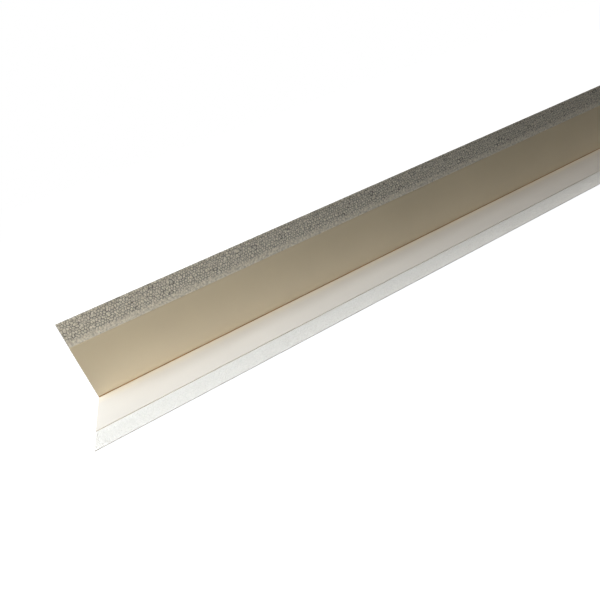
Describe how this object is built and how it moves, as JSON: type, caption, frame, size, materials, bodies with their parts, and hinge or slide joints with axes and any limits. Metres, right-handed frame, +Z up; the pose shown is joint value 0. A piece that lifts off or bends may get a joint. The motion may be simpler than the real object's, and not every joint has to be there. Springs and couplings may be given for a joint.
{
  "type": "internal corner trim",
  "caption": "Long L-shaped plastic trim for an inside corner, with smooth beige faces, a dark crease and thinner grained bands along both free edges.",
  "frame": {"origin": "middle of the footprint, on the ground under the lying leg", "axes": "+X along the length, +Y towards the standing leg, +Z up along the standing leg"},
  "size_m": [2, 0.05, 0.05],
  "materials": {
    "trim": "satin smooth beige face, pale grey leather-grained bands along the free edges"
  },
  "bodies": {
    "root": {"corner_trim": "trim"}
  },
  "joints": []
}
